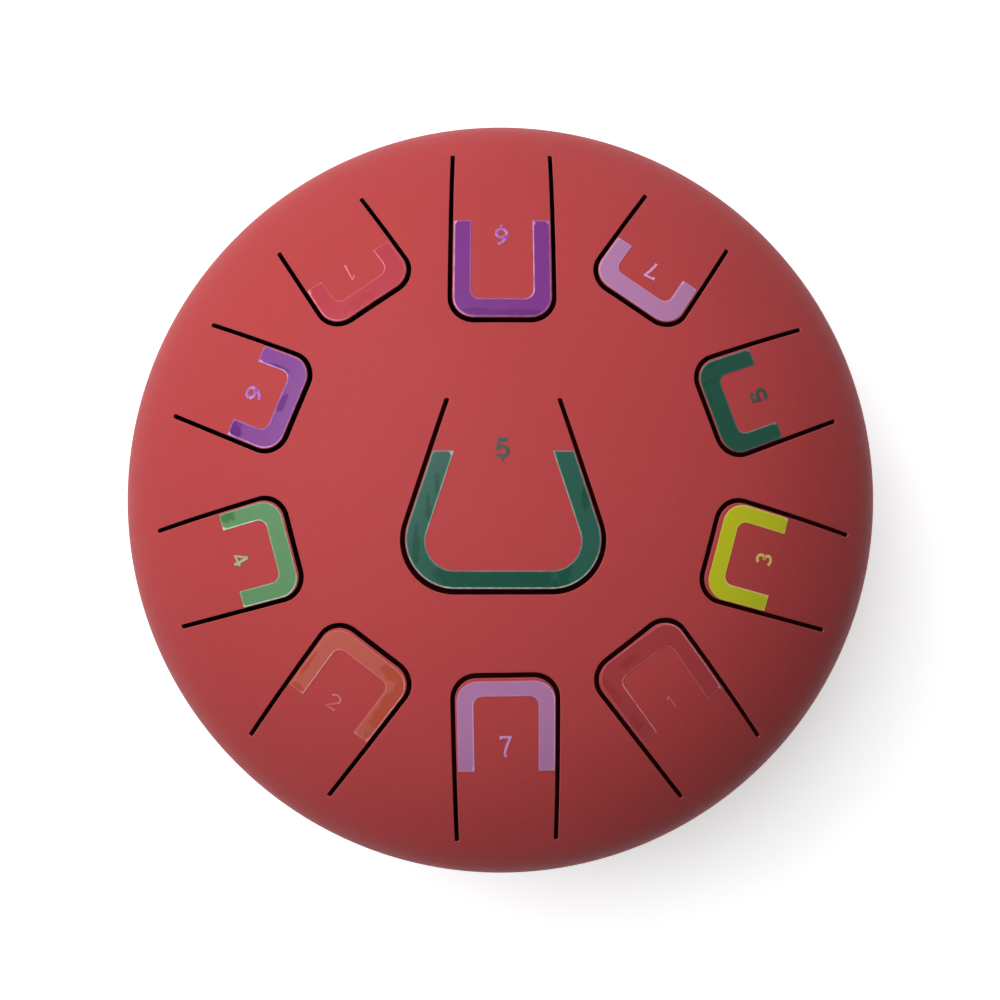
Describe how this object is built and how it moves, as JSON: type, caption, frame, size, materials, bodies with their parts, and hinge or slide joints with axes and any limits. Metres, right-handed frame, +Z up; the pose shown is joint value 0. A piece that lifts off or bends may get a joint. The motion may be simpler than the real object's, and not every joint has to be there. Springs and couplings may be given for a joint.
{
  "type": "steel tongue drum",
  "caption": "Domed steel tongue drum: two welded half-shells, tuned tongues cut in the top, U-shaped note stickers, a round sound hole below and push-in rubber feet.",
  "frame": {"origin": "on the floor under the drum's axis, at the middle of the footprint", "axes": "+Z up along the drum's axis; +Y away from the player, towards the root of the low 6 tongue; +X to the player's right"},
  "size_m": [0.254, 0.254, 0.141],
  "materials": {
    "shell_paint": "satin powder coat",
    "weld_paint": "satin powder coat over the weld bead",
    "foot_rubber": "matt moulded rubber",
    "vinyl_crimson": "glossy self-adhesive vinyl",
    "vinyl_orange": "glossy self-adhesive vinyl",
    "vinyl_yellow": "glossy self-adhesive vinyl",
    "vinyl_green": "glossy self-adhesive vinyl",
    "vinyl_bottle": "glossy self-adhesive vinyl",
    "vinyl_purple": "glossy self-adhesive vinyl",
    "vinyl_lilac": "glossy self-adhesive vinyl"
  },
  "bodies": {
    "shell": {"top_shell": "shell_paint", "bottom_shell": "shell_paint", "seam_weld": "weld_paint", "foot_front_left": "foot_rubber", "foot_front_right": "foot_rubber", "foot_rear_right": "foot_rubber", "foot_rear_left": "foot_rubber"},
    "tongue_low_5": {"tongue_low_5": "shell_paint", "sticker_low_5": "vinyl_bottle"},
    "tongue_low_6": {"tongue_low_6": "shell_paint", "sticker_low_6": "vinyl_purple"},
    "tongue_low_7": {"tongue_low_7": "shell_paint", "sticker_low_7": "vinyl_lilac"},
    "tongue_1": {"tongue_1": "shell_paint", "sticker_1": "vinyl_crimson"},
    "tongue_2": {"tongue_2": "shell_paint", "sticker_2": "vinyl_orange"},
    "tongue_3": {"tongue_3": "shell_paint", "sticker_3": "vinyl_yellow"},
    "tongue_4": {"tongue_4": "shell_paint", "sticker_4": "vinyl_green"},
    "tongue_5": {"tongue_5": "shell_paint", "sticker_5": "vinyl_bottle"},
    "tongue_6": {"tongue_6": "shell_paint", "sticker_6": "vinyl_purple"},
    "tongue_7": {"tongue_7": "shell_paint", "sticker_7": "vinyl_lilac"},
    "tongue_high_1": {"tongue_high_1": "shell_paint", "sticker_high_1": "vinyl_crimson"}
  },
  "joints": [
    {"name": "tongue_low_5_flex", "type": "hinge", "parent": "shell", "child": "tongue_low_5", "pos_m": [0.0001, 0.0259, 0.13875], "axis": [-1, 0, 0], "range_deg": [-0.63, 0.63], "stiffness_Nm_per_rad": 87.6},
    {"name": "tongue_low_6_flex", "type": "hinge", "parent": "shell", "child": "tongue_low_6", "pos_m": [-0.0002, 0.1073, 0.10837], "axis": [-1, 0, 0], "range_deg": [-0.6, 0.6], "stiffness_Nm_per_rad": 56.4},
    {"name": "tongue_low_7_flex", "type": "hinge", "parent": "shell", "child": "tongue_low_7", "pos_m": [0.00142, -0.10869, 0.1072], "axis": [0.9999, 0.014, 0], "range_deg": [-0.64, 0.64], "stiffness_Nm_per_rad": 58.5},
    {"name": "tongue_1_flex", "type": "hinge", "parent": "shell", "child": "tongue_1", "pos_m": [0.06877, -0.08637, 0.10571], "axis": [0.7902, 0.6129, 0], "range_deg": [-0.67, 0.67], "stiffness_Nm_per_rad": 59.9},
    {"name": "tongue_2_flex", "type": "hinge", "parent": "shell", "child": "tongue_2", "pos_m": [-0.06632, -0.08525, 0.10779], "axis": [0.7955, -0.606, 0], "range_deg": [-0.72, 0.72], "stiffness_Nm_per_rad": 62.2},
    {"name": "tongue_3_flex", "type": "hinge", "parent": "shell", "child": "tongue_3", "pos_m": [0.10543, -0.02846, 0.10677], "axis": [0.2588, 0.9659, 0], "range_deg": [-0.76, 0.76], "stiffness_Nm_per_rad": 64.1},
    {"name": "tongue_4_flex", "type": "hinge", "parent": "shell", "child": "tongue_4", "pos_m": [-0.10401, -0.02717, 0.10821], "axis": [0.2554, -0.9668, 0], "range_deg": [-0.8, 0.8], "stiffness_Nm_per_rad": 65.6},
    {"name": "tongue_5_flex", "type": "hinge", "parent": "shell", "child": "tongue_5", "pos_m": [0.09972, 0.0371, 0.10911], "axis": [-0.3469, 0.9379, 0], "range_deg": [-0.85, 0.85], "stiffness_Nm_per_rad": 67.4},
    {"name": "tongue_6_flex", "type": "hinge", "parent": "shell", "child": "tongue_6", "pos_m": [-0.09675, 0.03817, 0.111], "axis": [-0.3795, -0.9252, 0], "range_deg": [-0.9, 0.9], "stiffness_Nm_per_rad": 69.4},
    {"name": "tongue_7_flex", "type": "hinge", "parent": "shell", "child": "tongue_7", "pos_m": [0.05816, 0.08501, 0.11177], "axis": [-0.8281, 0.5606, 0], "range_deg": [-0.97, 0.97], "stiffness_Nm_per_rad": 71.5},
    {"name": "tongue_high_1_flex", "type": "hinge", "parent": "shell", "child": "tongue_high_1", "pos_m": [-0.05702, 0.08325, 0.1133], "axis": [-0.83, -0.5577, 0], "range_deg": [-1.04, 1.04], "stiffness_Nm_per_rad": 73.2}
  ]
}
